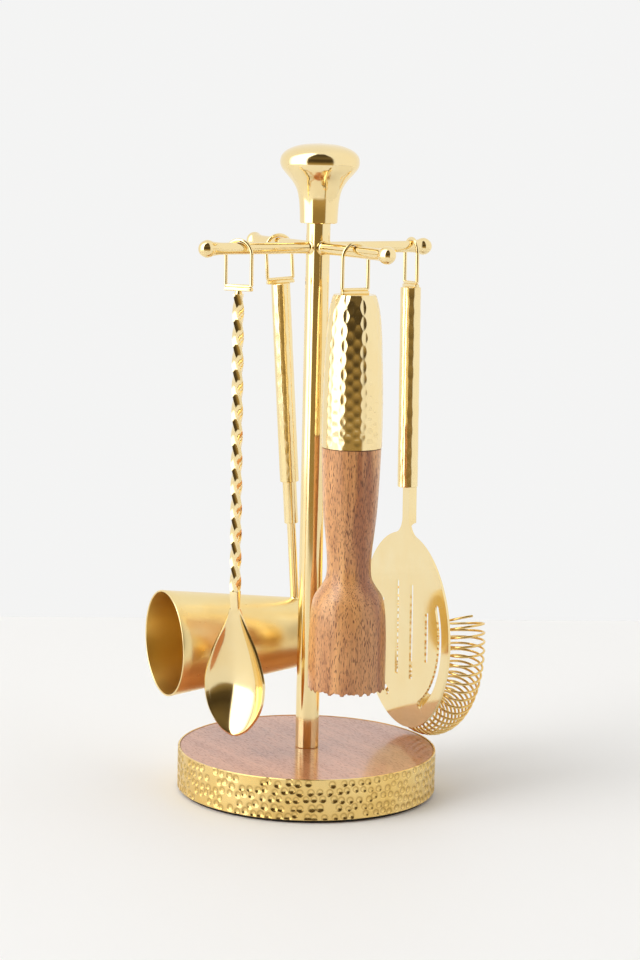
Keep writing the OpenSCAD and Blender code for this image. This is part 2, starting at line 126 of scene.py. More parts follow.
light = add_node(tree, "Background", {"Color": shown})
add_node(tree, "OutputWorld", {"Surface": light.outputs[0]})

bpy.ops.object.light_add(type="AREA", location=(-1.5, 0.1, 1.5))
window = bpy.context.object
window.data.size = 0.9
window.data.energy = 4.5
window.rotation_euler = (Vector((0, 0, 0.1)) - window.location).to_track_quat("-Z", "Y").to_euler()

table_behind, table_ahead, table_side = 0.412, 0.62, 1.1
table_turn = math.radians(-27.2)
bpy.ops.mesh.primitive_plane_add(size=1, location=(0, (table_behind - table_ahead) / 2, 0))
table = bpy.context.object
table.name = "table"
table.scale = (2 * table_side, table_behind + table_ahead, 1)
bpy.ops.object.transform_apply()
table.data.transform(Matrix.Rotation(table_turn, 4, "Z"))
paint = bpy.data.materials.new("table_paint")
paint.use_nodes = True
paint.node_tree.nodes["Principled BSDF"].inputs["Base Color"].default_value = (0.85, 0.845, 0.83, 1)
paint.node_tree.nodes["Principled BSDF"].inputs["Roughness"].default_value = 0.6
table.data.materials.append(paint)


# ---- Base ----
# A turned disc of reddish wood, oiled to a satin. The pole's screw comes up through it from
# a counterbore underneath, and a foam rubber pad is stuck over the whole underside.


def wood_grain():
    """Grain that runs along Z: soft bands, and open pores as short dark flecks."""
    group = bpy.data.node_groups.new("wood_grain", "ShaderNodeTree")
    for name, kind in (("Place", "Vector"), ("Light", "Color"), ("Dark", "Color"),
                       ("Pore", "Color"), ("Fineness", "Float")):
        group.interface.new_socket(name, in_out="INPUT", socket_type="NodeSocket" + kind)
    for name, kind in (("Colour", "Color"), ("Roughness", "Float"), ("Height", "Float")):
        group.interface.new_socket(name, in_out="OUTPUT", socket_type="NodeSocket" + kind)
    given = group.nodes.new("NodeGroupInput").outputs
    bands_at = add_node(group, "VectorMath", {0: given["Place"], 1: (62, 62, 7)},
                        operation="MULTIPLY").outputs[0]
    bands = add_node(group, "TexNoise", {"Vector": bands_at, "Scale": 1.0, "Detail": 5.0,
                                         "Distortion": 1.2}).outputs["Fac"]
    body = add_node(group, "Mix", {
        "Factor": add_ramp(group, bands, [(0.32, grey(0)), (0.68, grey(1))]),
        6: given["Light"], 7: given["Dark"]}, data_type="RGBA").outputs[2]
    fibres_at = add_node(group, "VectorMath", {0: given["Place"], 1: (900, 900, 60)},
                         operation="MULTIPLY").outputs[0]
    fibres = add_node(group, "TexNoise", {"Vector": fibres_at, "Scale": 1.0,
                                          "Detail": 2.0}).outputs["Fac"]
    fibre_tone = add_ramp(group, fibres, [(0.3, grey(0.82)), (0.7, grey(1))])
    body = add_node(group, "Mix", {"Factor": 1.0, 6: body, 7: fibre_tone},
                    data_type="RGBA", blend_type="MULTIPLY").outputs[2]
    stretch = add_node(group, "VectorMath", {0: given["Place"], 1: (1, 1, 0.14)},
                       operation="MULTIPLY").outputs[0]
    pores_at = add_node(group, "VectorMath", {0: stretch, "Scale": given["Fineness"]},
                        operation="SCALE").outputs[0]
    pores = add_node(group, "TexNoise", {"Vector": pores_at, "Scale": 1.0, "Detail": 1.0,
                                         "Roughness": 0.4}).outputs["Fac"]
    crowd = add_node(group, "Math", {0: pores, 1: add_node(
        group, "Math", {0: bands, 1: 0.22}, operation="MULTIPLY").outputs[0]},
        operation="ADD").outputs[0]
    fleck = add_ramp(group, crowd, [(0.68, grey(0)), (0.75, grey(1))])
    colour = add_node(group, "Mix", {"Factor": fleck, 6: body, 7: given["Pore"]},
                      data_type="RGBA").outputs[2]
    rough = add_node(group, "MapRange", {"Value": fleck, "To Min": 0.3, "To Max": 0.6})
    level = add_node(group, "MapRange", {"Value": fleck, "To Min": 1.0, "To Max": 0.0})
    out = group.nodes.new("NodeGroupOutput")
    group.links.new(colour, out.inputs["Colour"])
    group.links.new(rough.outputs[0], out.inputs["Roughness"])
    group.links.new(level.outputs[0], out.inputs["Height"])
    return group


def new_finish(name):
    """A material with nothing but its shader, and that shader."""
    finish = bpy.data.materials.new(name)
    finish.use_nodes = True
    return finish, finish.node_tree, finish.node_tree.nodes["Principled BSDF"]


def use_group(tree, shader, group, inputs, bump):
    """Places a finish's node group and leads its colour, roughness and height to the shader."""
    placed = add_node(tree, "Group", node_tree=group)
    for name, value in inputs.items():
        if isinstance(value, bpy.types.NodeSocket):
            tree.links.new(value, placed.inputs[name])
        else:
            placed.inputs[name].default_value = value
    raised = add_node(tree, "Bump", {"Height": placed.outputs["Height"], "Strength": 1.0,
                                     "Distance": bump})
    tree.links.new(placed.outputs["Colour"], shader.inputs["Base Color"])
    tree.links.new(placed.outputs["Roughness"], shader.inputs["Roughness"])
    tree.links.new(raised.outputs[0], shader.inputs["Normal"])


grain = wood_grain()
base_wood, tree, shader = new_finish("oiled_base_wood")
across = add_node(tree, "Mapping", {
    "Vector": add_node(tree, "TexCoord").outputs["Object"],
    "Rotation": (math.radians(90), 0, math.radians(-58))}).outputs[0]
use_group(tree, shader, grain, {
    "Place": across, "Light": (0.72, 0.3, 0.125, 1), "Dark": (0.6, 0.225, 0.085, 1),
    "Pore": (0.4, 0.145, 0.06, 1), "Fineness": 2600.0}, 0.00001)
shader.inputs["Specular IOR Level"].default_value = 0.3
shader.inputs["Coat Weight"].default_value = 0.8
shader.inputs["Coat Roughness"].default_value = 0.13

pad_rubber, tree, shader = new_finish("pad_rubber")
speckle = add_node(tree, "TexNoise", {"Vector": add_node(tree, "TexCoord").outputs["Object"],
                                      "Scale": 1800.0, "Detail": 2.0}).outputs["Fac"]
tree.links.new(add_ramp(tree, speckle, [(0.35, grey(0.012)), (0.7, grey(0.03))]),
               shader.inputs["Base Color"])
tree.links.new(add_node(tree, "Bump", {"Height": speckle, "Distance": 0.0001}).outputs[0],
               shader.inputs["Normal"])
shader.inputs["Roughness"].default_value = 0.85


def finish_node(name, finish):
    """Gives a part of the stand that keeps its own shape its finish."""
    for held in nodes[name].material_slots:
        held.material = finish


finish_node("base_block", base_wood)
finish_node("base_pad", pad_rubber)


# ---- Screws, washer and studs ----
# Zinc-plated steel: the screw and washer under the base, the stud that the knob turns on to,
# and the stud that runs down from the muddler's bail into its wood.

zinc, tree, shader = new_finish("zinc_plate")
cloud = add_node(tree, "TexNoise", {"Vector": add_node(tree, "TexCoord").outputs["Object"],
                                    "Scale": 420.0, "Detail": 3.0}).outputs["Fac"]
tree.links.new(add_ramp(tree, cloud, [(0.3, (0.42, 0.43, 0.44)), (0.7, (0.6, 0.61, 0.62))]),
               shader.inputs["Base Color"])
tree.links.new(add_node(tree, "MapRange", {"Value": cloud, "To Min": 0.25,
                                           "To Max": 0.45}).outputs[0],
               shader.inputs["Roughness"])
shader.inputs["Metallic"].default_value = 1
for name in ("base_screw", "base_washer", "knob_stud", "muddler_stud"):
    finish_node(name, zinc)


# ---- Hammered band ----
# A strip of plated sheet bent round the disc and closed at the back, its face beaten all
# over with a round punch before it was plated.


def plating():
    """Plated metal: a colour that deepens in clouds, with painted shade on the walls of hollows
    where asked, and faint wiping marks.
    """
    group = bpy.data.node_groups.new("plating", "ShaderNodeTree")
    for name, kind in (("Bright", "Color"), ("Deep", "Color"), ("PitShade", "Color"),
                       ("Hollow", "Float"), ("Gloss", "Float"), ("Wear", "Float")):
        group.interface.new_socket(name, in_out="INPUT", socket_type="NodeSocket" + kind)
    for name, kind in (("Colour", "Color"), ("Roughness", "Float"), ("Height", "Float")):
        group.interface.new_socket(name, in_out="OUTPUT", socket_type="NodeSocket" + kind)
    given = group.nodes.new("NodeGroupInput").outputs
    place = add_node(group, "TexCoord").outputs["Object"]
    clouds = add_node(group, "TexNoise", {"Vector": place, "Scale": 55.0,
                                          "Detail": 3.0}).outputs["Fac"]
    deeper = add_ramp(group, clouds, [(0.35, grey(0)), (0.75, grey(1))])
    colour = add_node(group, "Mix", {"Factor": deeper, 6: given["Bright"], 7: given["Deep"]},
                      data_type="RGBA").outputs[2]
    # Painted shade: the colour goes dark on the walls of hammer marks, by the share kept on the
    # mesh.
    colour = add_node(group, "Mix", {"Factor": given["Hollow"], 6: colour, 7: given["PitShade"]},
                      data_type="RGBA").outputs[2]
    wiped = add_node(group, "VectorMath", {0: place, 1: (700, 700, 130)},
                     operation="MULTIPLY").outputs[0]
    marks = add_node(group, "TexNoise", {"Vector": wiped, "Scale": 1.0,
                                         "Detail": 4.0}).outputs["Fac"]
    spread = add_node(group, "Math", {0: marks, 1: given["Wear"]},
                      operation="MULTIPLY").outputs[0]
    rough = add_node(group, "Math", {0: spread, 1: given["Gloss"]}, operation="ADD").outputs[0]
    out = group.nodes.new("NodeGroupOutput")
    group.links.new(colour, out.inputs["Colour"])
    group.links.new(rough, out.inputs["Roughness"])
    group.links.new(marks, out.inputs["Height"])
    return group


plate_group = plating()


def gold(name, gloss, wear, bump, bright=(0.94, 0.77, 0.43, 1), deep=(0.93, 0.73, 0.37, 1),
         pit_shade=None):
    """Gold plating of a given gloss and wear, with painted shade on the walls of its hammer marks
    if asked.
    """
    finish, tree, shader = new_finish(name)
    inputs = {"Bright": bright, "Deep": deep, "Hollow": 0.0, "Gloss": gloss, "Wear": wear}
    if pit_shade:
        inputs["PitShade"] = pit_shade
        inputs["Hollow"] = add_node(tree, "Attribute", attribute_name="wall").outputs["Fac"]
    use_group(tree, shader, plate_group, inputs, bump)
    shader.inputs["Metallic"].default_value = 1
    return finish


polished = gold("polished_plate", 0.07, 0.06, 0.000002)
hammered = gold("hammered_plate", 0.09, 0.08, 0.000003)
# The band's pit walls get a dark brown painted in as shade, where the steep walls would reflect the
# dark.
beaten_strip = gold("beaten_strip_plate", 0.17, 0.1, 0.000003, bright=(0.93, 0.69, 0.28, 1),
                    deep=(0.85, 0.58, 0.18, 1), pit_shade=(0.36, 0.2, 0.04, 1))


def turn(name, outline, sides, solid=True):
    """Raises a ring through [radius, height] points, as a tool follows work in a lathe."""
    bpy.ops.object.select_all(action="DESELECT")
    radius, height = outline[0]
    bpy.ops.mesh.primitive_circle_add(vertices=sides, radius=radius, enter_editmode=True,
                                      fill_type="NGON" if solid else "NOTHING")
    piece = bpy.context.object
    piece.name = name
    bpy.ops.transform.translate(value=(0, 0, height))
    for next_radius, next_height in outline[1:]:
        bpy.ops.mesh.extrude_region_move(
            TRANSFORM_OT_translate={"value": (0, 0, next_height - height)})
        if next_radius == 0:
            bpy.ops.mesh.merge(type="CENTER")
        elif next_radius != radius:
            share = next_radius / radius
            bpy.ops.transform.resize(value=(share, share, 1),
                                     center_override=(0, 0, next_height))
        radius, height = next_radius, next_height
    bpy.ops.mesh.select_all(action="SELECT")
    bpy.ops.mesh.remove_doubles(threshold=0.000002)
    bpy.ops.mesh.normals_make_consistent(inside=False)
    bpy.ops.object.mode_set(mode="OBJECT")
    return piece


def hammer(piece, marks, depth):
    """Sinks a round-bottomed mark at each (angle, height, half width, half height).

    Each point's share of a mark's steep wall is kept on the mesh, for its finish to paint shade
    there.
    """
    mean_w = sum(m[2] for m in marks) / len(marks)
    mean_h = sum(m[3] for m in marks) / len(marks)
    mean_radius = max(v.co.xy.length for v in piece.data.vertices)
    tree = kdtree.KDTree(3 * len(marks))
    for lap in (-1, 0, 1):
        for i, (angle, height, _, _) in enumerate(marks):
            tree.insert(((angle + lap * math.tau) * mean_radius / mean_w, height / mean_h, 0), i)
    tree.balance()
    # The wall share marks where painted shade goes.
    walls = piece.data.attributes.new("wall", "FLOAT", "POINT")
    steepest, wall_w, wall_tone = 0.72, 0.28, 0.75
    for v in piece.data.vertices:
        radius = v.co.xy.length
        angle = math.atan2(v.co.y, v.co.x)
        sunk = share = 0
        for _, i, _ in tree.find_n((angle * mean_radius / mean_w, v.co.z / mean_h, 0), 5):
            mark_angle, mark_height, half_w, half_h = marks[i]
            aside = (angle - mark_angle + math.pi) % math.tau - math.pi
            off = Vector((aside * radius / half_w, (v.co.z - mark_height) / half_h)).length
            if 1 - off * off > sunk:
                sunk, share = 1 - off * off, half_h / mean_h
        v.co.xy *= 1 - depth * share * sunk / radius
        from_wall = abs(math.sqrt(1 - sunk) - steepest)
        walls.data[v.index].value = wall_tone * max(0, 1 - from_wall / wall_w)


def smooth(piece, angle=35):
    """Shades a piece smooth, but for its edges."""
    bpy.ops.object.select_all(action="DESELECT")
    piece.select_set(True)
    bpy.context.view_layer.objects.active = piece
    bpy.ops.object.shade_smooth_by_angle(angle=math.radians(angle))


def fit(piece, finish, body, node):
    """Plates or oils a piece, and fixes it to the body that it moves with."""
    piece.data.materials.clear()
    piece.data.materials.append(finish)
    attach(piece, body)
    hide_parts(node)


low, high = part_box("base_band")
band_r = high.x
band_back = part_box("base_block")[1].x
band_low, band_high = low.z, high.z
band_h = band_high - band_low
edge = 0.25 * mm
rings = 46
band_outline = [(band_back, band_low), (band_r - edge, band_low)]
band_outline += [(band_r, band_low + edge + (band_h - 2 * edge) * i / rings)
                 for i in range(rings + 1)]
band_outline += [(band_r - edge, band_high), (band_back, band_high), (band_back, band_low)]
band = turn("hammered_band", band_outline, 900, solid=False)
random.seed(7)
mark_rows, mark_columns, missed, astray = 5, 92, 0.05, 0.22
mark_depth = 0.6 * mm
band_marks = []
for row in range(mark_rows):
    for column in range(mark_columns):
        if random.random() < missed:
            continue
        half = random.uniform(1.7, 2.1) * mm
        band_marks.append((
            (column + 0.5 * (row % 2) + random.uniform(-astray, astray)) * math.tau / mark_columns,
            band_low + (row + 0.5 + random.uniform(-astray, astray)) * band_h / mark_rows,
            half, half))
hammer(band, band_marks, mark_depth)
smooth(band, 40)
fit(band, beaten_strip, "root", "base_band")


# ---- Pole ----
# A drawn tube, polished and plated. It holds a turned plug at its foot for the base's screw,
# a cross-drilled block where the arms meet, and another plug under the knob.

plug_brass = gold("plug_plate", 0.2, 0.15, 0.000003, deep=(0.8, 0.58, 0.24, 1))
for name in ("foot_insert", "cross_block", "top_insert"):
    finish_node(name, plug_brass)

low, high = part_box("pole")
pole_r = high.x
pole_wall = 1.2 * mm
pole_foot, pole_top = low.z, high.z
chamfer = 0.3 * mm
pole = turn("pole_tube", [
    (pole_r - pole_wall, pole_foot), (pole_r - chamfer, pole_foot),
    (pole_r, pole_foot + chamfer), (pole_r, pole_top), (pole_r - pole_wall, pole_top),
    (pole_r - pole_wall, pole_foot)], 96, solid=False)
smooth(pole)
fit(pole, polished, "root", "pole")


# ---- Knob ----
# Turned from solid bar to a mushroom shape, bored to sit over the pole's end and tapped for
# the stud in it.


def curve_through(points, steps=6):
    """A smooth line through a list of points, with a number of steps between each pair."""
    line = []
    for i in range(len(points) - 1):
        a, b, c, d = (Vector(points[min(max(k, 0), len(points) - 1)]) for k in range(i - 1, i + 3))
        for step in range(steps):
            t = step / steps
            line.append(0.5 * (2 * b + (c - a) * t + (2 * a - 5 * b + 4 * c - d) * t ** 2
                               + (3 * b - a - 3 * c + d) * t ** 3))
    return [tuple(p) for p in line] + [tuple(points[-1])]


low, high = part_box("knob")
knob_r, knob_foot, knob_h = high.x, low.z, high.z - low.z
neck_r = 9.1 * mm
knob_outline = curve_through([
    (neck_r, 0), (neck_r + 0.4 * mm, knob_h * 0.22), (neck_r + 1.2 * mm, knob_h * 0.36),
    (knob_r * 0.6, knob_h * 0.45), (knob_r * 0.71, knob_h * 0.535),
    (knob_r * 0.86, knob_h * 0.62), (knob_r * 0.965, knob_h * 0.69), (knob_r, knob_h * 0.765),
    (knob_r * 0.955, knob_h * 0.85), (knob_r * 0.78, knob_h * 0.925),
    (knob_r * 0.45, knob_h * 0.98), (0, knob_h)])
socket_r, socket_l = pole_r + 0.05 * mm, 11 * mm
knob = turn("knob_turned", [
    (socket_r * 0.5, knob_foot + socket_l), (socket_r, knob_foot + socket_l),
    (socket_r, knob_foot), (neck_r - chamfer, knob_foot)]
    + [(min(r, knob_r), knob_foot + max(z, chamfer)) for r, z in knob_outline], 96)
smooth(knob)
fit(knob, polished, "root", "knob")


# ---- Arms and finials ----
# Four rods spigotted into the pole and brazed with a small fillet, each closed by a turned
# ball finial that keeps a bail from sliding off.

low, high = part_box("arm_right")
arm_r = (high.z - low.z) / 2
arm_z = (high.z + low.z) / 2
finial_low, finial_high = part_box("finial_right")
finial_end, finial_l = finial_high.x, finial_high.x - finial_low.x
finial_r = finial_high.y
arm_end = finial_end - finial_l
fillet = 0.9 * mm
fillet_at = pole_r - 0.2 * mm
arm_outline = [(arm_r + fillet, pole_r - 1 * mm), (arm_r + fillet, fillet_at)]
arm_outline += [(arm_r + fillet * (1 - math.sin(a)), fillet_at + fillet * 1.6 * (1 - math.cos(a)))
                for a in (math.radians(k * 15) for k in range(1, 7))]
arm_outline += [(arm_r, pole_r + (arm_end - pole_r) * k / 4) for k in (1, 2, 3)]
arm_outline += [(arm_r, arm_end), (arm_r * 0.6, arm_end)]
finial_outline = [(1.8 * mm, 0)] + curve_through([
    (arm_r, 0), (arm_r + 0.15 * mm, finial_l * 0.22), (finial_r * 0.82, finial_l * 0.45),
    (finial_r * 0.975, finial_l * 0.6), (finial_r * 0.975, finial_l * 0.74),
    (finial_r * 0.72, finial_l * 0.9), (finial_r * 0.38, finial_l * 0.98), (0, finial_l)])


def lay_along(piece, side):
    """Lays what was turned upright along an arm, side being its quarter turn from +X."""
    piece.data.transform(Matrix.Translation((0, 0, arm_z))
                         @ Matrix.Rotation(side * math.pi / 2, 4, "Z")
                         @ Matrix.Rotation(math.pi / 2, 4, "Y"))


for side, name in enumerate(("right", "back", "left", "front")):
    arm = turn("rod_" + name, arm_outline, 48)
    lay_along(arm, side)
    smooth(arm)
    fit(arm, polished, "root", "arm_" + name)
    ball = turn("ball_" + name, [(min(r, finial_r), arm_end + z) for r, z in finial_outline], 48)
    lay_along(ball, side)
    smooth(ball)
    fit(ball, polished, "root", "finial_" + name)


# ---- Bails ----
# Each tool hangs by a loop of round wire, arched at the top and bent square below, that is
# soldered to a short strip on top of the tool. It lies over its arm with a little play.

bail_play = 0.15 * mm
hang_z = arm_z + arm_r + bail_play
bail_w, bail_h, wire_r = 15.5 * mm, 23.5 * mm, 0.9 * mm
bail_half = bail_w / 2 - wire_r
bail_arch = wire_r - bail_half
bail_bar = 3 * wire_r - bail_h
stub_l = 1.3 * mm
tool_top = bail_bar - wire_r - stub_l
corner_r = 0.9 * mm
strip_h = 1.7 * mm
# Where each tool hangs, and the turn and lean that it hangs at
HUNG = {
    "spoon": ((-44 * mm, 0, hang_z), -56.6, 0.5),
    "jigger": ((0, 37.7 * mm, hang_z), -7, 4.1),
    "muddler": ((0, -34 * mm, hang_z), -3.6, 0.2),
    "strainer": ((54 * mm, 0, hang_z), -97.5, 1.6),
}


def hang(piece, tool):
    """Puts a piece drawn with its tool's hanging point at the origin on the tool's arm."""
    place, turned, lean = HUNG[tool]
    piece.data.transform(Matrix.Translation(place)
                         @ Matrix.Rotation(math.radians(turned), 4, "Z")
                         @ Matrix.Rotation(math.radians(-lean), 4, "Y"))


def bend_wire(name, points, radius, closed=False, sides=3):
    """Round wire bent along a line of points, as a mesh."""
    line = bpy.data.curves.new(name, "CURVE")
    line.dimensions = "3D"
    line.bevel_depth = radius
    line.bevel_resolution = sides
    line.use_fill_caps = not closed
    spline = line.splines.new("POLY")
    spline.points.add(len(points) - 1)
    for point, place in zip(spline.points, points):
        point.co = (*place, 1)
    spline.use_cyclic_u = closed
    wire = bpy.data.objects.new(name, line)
    bpy.context.scene.collection.objects.link(wire)
    bpy.ops.object.select_all(action="DESELECT")
    wire.select_set(True)
    bpy.context.view_layer.objects.active = wire
    bpy.ops.object.convert(target="MESH")
    return bpy.context.object


def join(first, *others):
    """Makes one piece of several."""
    bpy.ops.object.select_all(action="DESELECT")
    for piece in (first, *others):
        piece.select_set(True)
    bpy.context.view_layer.objects.active = first
    bpy.ops.object.join()
    return first


loop_line = [(bail_half * math.cos(a), 0, bail_arch + bail_half * math.sin(a))
             for a in (math.pi * k / 24 for k in range(25))]
for side in (-1, 1):
    for k in range(5):
        a = math.radians(22.5 * k)
        swing = 1 - math.cos(a), 1 - math.sin(a)
        inwards, upwards = swing if side < 0 else reversed(swing)
        loop_line.append((side * (bail_half - corner_r * inwards), 0,
                          bail_bar + corner_r * upwards))
for tool in HUNG:
    loop = bend_wire(tool + "_loop", loop_line, wire_r, closed=True, sides=5)
    bpy.ops.object.select_all(action="DESELECT")
    bpy.ops.mesh.primitive_cube_add(size=1)
    strip = bpy.context.object
    strip.data.transform(
        Matrix.Translation((0, 0, tool_top + strip_h / 2 - 0.1 * mm))
        @ Matrix.Diagonal((bail_w - 1 * mm, 2.4 * mm, strip_h, 1)))
    soft_edge = strip.modifiers.new("soft_edge", "BEVEL")
    soft_edge.width = 0.35 * mm
    soft_edge.segments = 3
    bpy.ops.object.modifier_apply(modifier="soft_edge")
    join(loop, strip)
    hang(loop, tool)
    smooth(loop, 50)
    fit(loop, polished, tool, tool + "_bail")


# ---- Spoon ----
# A square bar twisted three turns and forged down to a plain neck, with a bowl raised from
# sheet and brazed to it, polished like a mirror.

stem_side, twist_l, twist_pitch, neck_l = 4.2 * mm, 143.5 * mm, 47.5 * mm, 8.5 * mm
twist_top = tool_top - 1.5 * mm
neck_top = twist_top - twist_l
bowl_top = neck_top - neck_l
bowl_l, bowl_w, bowl_d, bowl_t = 62.8 * mm, 32 * mm, 7.5 * mm, 1.2 * mm
rim_sink = 0.3 * mm


def bar_reach(angle):
    """How far a square bar with eased corners reaches at an angle from its middle."""
    on_side = (angle + math.pi / 4) % (math.pi / 2) - math.pi / 4
    return min(stem_side * 0.5 / math.cos(on_side), stem_side * 0.665)


bar_rings = 240
stem = turn("twisted_stem", [(stem_side * 0.66, neck_top + twist_l * i / bar_rings)
                             for i in range(bar_rings + 1)], 24)
for v in stem.data.vertices:
    angle = math.atan2(v.co.y, v.co.x)
    reach = bar_reach(angle)
    angle -= math.tau * v.co.z / twist_pitch
    v.co.xy = (reach * math.cos(angle), reach * math.sin(angle))
tip = turn("tip", [(stem_side * 0.48, twist_top - 0.1 * mm), (1.4 * mm, twist_top + 1.6 * mm)], 24)


def sink_at(down):
    """How far back the bowl's middle lies, at a share of its length below its top."""
    return rim_sink + bowl_d * math.sin(math.pi * down ** 1.2)


# The neck's tail follows the middle of the bowl, forged thin and drawn to half its width
neck_tail, tail_thick, drawn_to, drawn_from = 7 * mm, 0.15, 0.5, 0.45
neck_rings = 24
neck = turn("neck", [(stem_side / 2, bowl_top - neck_tail + (neck_l + neck_tail) * i / neck_rings)
                     for i in range(neck_rings + 1)], 24)
for v in neck.data.vertices:
    angle = math.atan2(v.co.y, v.co.x)
    reach = bar_reach(angle)
    rise = max(0, (v.co.z - bowl_top + neck_tail) / (neck_l + neck_tail))
    thick = min(1, tail_thick + 1.05 * rise ** 1.3)
    wide = 1 - drawn_to * max(0, drawn_from - rise) / drawn_from
    below = max(0, bowl_top - v.co.z) / bowl_l
    v.co.xy = (wide * reach * math.cos(angle),
               thick * reach * math.sin(angle) + sink_at(below) * min(1, below * 25))
join(stem, tip, neck)
hang(stem, "spoon")
smooth(stem, 28)
fit(stem, polished, "spoon", "spoon_stem")

bowl_line = curve_through([(0.165, 0), (0.35, 0.13), (0.73, 0.33), (0.98, 0.53), (1, 0.64),
                           (0.945, 0.74), (0.79, 0.84), (0.49, 0.94), (0.22, 0.985), (0.05, 1)], 4)
across, along = 24, len(bowl_line) - 1
bpy.ops.object.select_all(action="DESELECT")
bpy.ops.mesh.primitive_grid_add(x_subdivisions=across, y_subdivisions=along, size=2)
bowl = bpy.context.object
bowl.name = "spoon_bowl_raised"
for v in bowl.data.vertices:
    share = round((1 - v.co.y) / 2 * along)
    half, down = bowl_line[share]
    v.co = (half * bowl_w / 2 * v.co.x, sink_at(down) * (1 - abs(v.co.x) ** 2.7) - rim_sink,
            bowl_top - bowl_l * down)
sheet = bowl.modifiers.new("sheet", "SOLIDIFY")
sheet.thickness = bowl_t
sheet.offset = 0
rim = bowl.modifiers.new("rim", "BEVEL")
rim.width = 0.35 * mm
rim.segments = 2
rim.limit_method = "ANGLE"
rim.angle_limit = math.radians(60)
for name in ("sheet", "rim"):
    bpy.ops.object.modifier_apply(modifier=name)
hang(bowl, "spoon")
smooth(bowl, 50)
fit(bowl, polished, "spoon", "spoon_bowl")


# ---- Tubular grips ----
# The jigger and the strainer have a grip of thin tube, lightly hammered all over and closed
# at the top by a plated disc.

for name in ("jigger_plug", "strainer_plug"):
    finish_node(name, polished)


def make_grip(tool, radius, length):
    """Hangs a hammered tube under a tool's bail, and returns the height of its foot."""
    wall, edge, rings = 0.8 * mm, 0.3 * mm, 130
    rows, columns, depth = 20, 7, 0.07 * mm
    foot = tool_top - length
    outline = [(radius - wall, foot), (radius - edge, foot)]
    outline += [(radius, foot + edge + (length - 2 * edge) * i / rings) for i in range(rings + 1)]
    outline += [(radius - edge, tool_top), (radius - wall, tool_top), (radius - wall, foot)]
    tube = turn(tool + "_tube", outline, 88, solid=False)
    random.seed(len(tool))
    marks = []
    for row in range(rows):
        for column in range(columns):
            marks.append((
                (column + 0.5 * (row % 2) + random.uniform(-0.2, 0.2)) * math.tau / columns,
                foot + (row + 0.5 + random.uniform(-0.25, 0.25)) * length / rows,
                random.uniform(2, 2.9) * mm, random.uniform(3, 4.6) * mm))
    hammer(tube, marks, depth)
    hang(tube, tool)
    smooth(tube, 40)
    fit(tube, hammered, tool, tool + "_grip")
    return foot


# ---- Jigger ----
# A spun cup that lies across a thin rod, satin outside and satin inside, its gold painted darker
# inside as shade. The rod goes up through a collar that is pressed into the grip.

grip_foot = make_grip("jigger", 4.8 * mm, 100 * mm)
collar_r, collar_l = 3.5 * mm, 21.4 * mm
rod_r, rod_l = 2.2 * mm, 39 * mm
collar_foot = grip_foot - collar_l
rod_foot = collar_foot - rod_l
collar = turn("collar_turned", [
    (rod_r, collar_foot), (collar_r - chamfer, collar_foot), (collar_r, collar_foot + chamfer),
    (collar_r, grip_foot - 0.1 * mm), (collar_r, grip_foot + 4 * mm),
    (rod_r, grip_foot + 4 * mm), (rod_r, collar_foot)], 64, solid=False)
hang(collar, "jigger")
smooth(collar)
fit(collar, polished, "jigger", "jigger_collar")

mouth_r, end_r, cup_l, cup_rod_at, cup_t = 26.5 * mm, 17 * mm, 77 * mm, 72 * mm, 0.9 * mm
cup_corner, cup_tip = 2.5 * mm, math.radians(3.4)
cup_r_at_rod = mouth_r - (mouth_r - end_r) * cup_rod_at / cup_l
cup_axis = rod_foot - cup_r_at_rod
braze = 1.2 * mm
rod = turn("rod_turned", [(rod_r + braze, rod_foot - 0.7 * mm)] + [
    (rod_r + braze * (1 - math.sin(a)), rod_foot + braze * (1 - math.cos(a)))
    for a in (math.radians(k * 15) for k in range(7))] + [
    (rod_r, rod_foot + rod_l * k / 3) for k in (1, 2)] + [(rod_r, collar_foot + 6 * mm)], 48)
hang(rod, "jigger")
smooth(rod)
fit(rod, polished, "jigger", "jigger_rod")

spun = gold("spun_plate", 0.24, 0.12, 0.000006, bright=(0.94, 0.76, 0.38, 1),
            deep=(0.92, 0.71, 0.32, 1))
# Painted shade: the inside of the cup gets a darker, deeper gold than the outside.
spun_shaded_inside = gold("spun_shaded_inside_plate", 0.3, 0.15, 0.000008, bright=(0.78, 0.53, 0.15, 1),
                   deep=(0.7, 0.45, 0.11, 1))
inner_steps, outer_steps = 8, 14
cup_flat = end_r - cup_corner - 0.6 * mm
cup_line = [(end_r * 0.1, cup_l - cup_t), (cup_flat, cup_l - cup_t)]
cup_line += [(end_r - cup_t - (cup_corner - cup_t) * (1 - math.cos(a)),
              cup_l - cup_t - (cup_corner - cup_t) * (1 - math.sin(a)))
             for a in (math.radians(90 - k * 15) for k in range(7))]
cup_line += [(mouth_r - cup_t + (end_r - mouth_r) * z / cup_l, z)
             for z in ((cup_l - cup_corner) * k / inner_steps
                       for k in range(inner_steps - 1, 0, -1))]
cup_line += [(mouth_r - cup_t * 0.5 - cup_t * 0.5 * math.cos(a), cup_t * 0.5 * (1 - math.sin(a)))
             for a in (math.radians(k * 30) for k in range(7))]
cup_line += [(mouth_r + (end_r - mouth_r) * z / cup_l, z)
             for z in ((cup_l - cup_corner) * k / outer_steps for k in range(1, outer_steps))]
cup_line += [(end_r - cup_corner * (1 - math.cos(a)), cup_l - cup_corner * (1 - math.sin(a)))
             for a in (math.radians(k * 15) for k in range(7))]
cup = turn("cup_spun", cup_line + [(cup_flat, cup_l), (0, cup_l)], 128)
inner_faces = [f.index for f in cup.data.polygons
               if f.normal.xy.dot(f.center.xy) < 0 and f.center.z > cup_t
               or f.normal.z < -0.5 and f.center.z > cup_l / 2]
